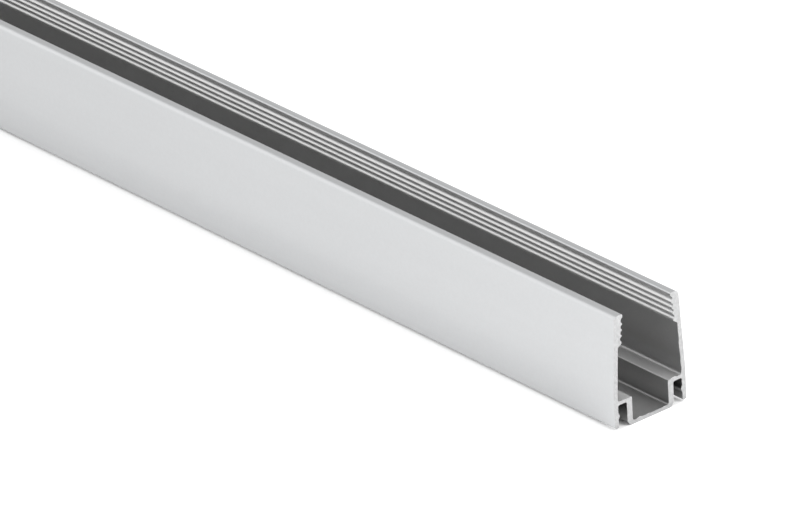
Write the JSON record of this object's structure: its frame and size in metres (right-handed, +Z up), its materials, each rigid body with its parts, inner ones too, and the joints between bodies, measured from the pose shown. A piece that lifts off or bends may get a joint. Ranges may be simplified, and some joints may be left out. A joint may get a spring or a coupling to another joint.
{
  "type": "aluminium led profile",
  "caption": "Straight extruded aluminium channel with a serrated jaw at the top, a trough for an LED strip at the bottom and clip slots under its shelves.",
  "frame": {"origin": "middle of the flat underside of the strip trough, halfway along the bar", "axes": "+X along the bar, +Y across it, +Z up from the underside to the open jaw"},
  "size_m": [0.5, 0.0162, 0.0214],
  "materials": {
    "anodised_aluminium": "satin natural anodised, with bare sawn ends"
  },
  "bodies": {
    "root": {"led_profile": "anodised_aluminium"}
  },
  "joints": []
}
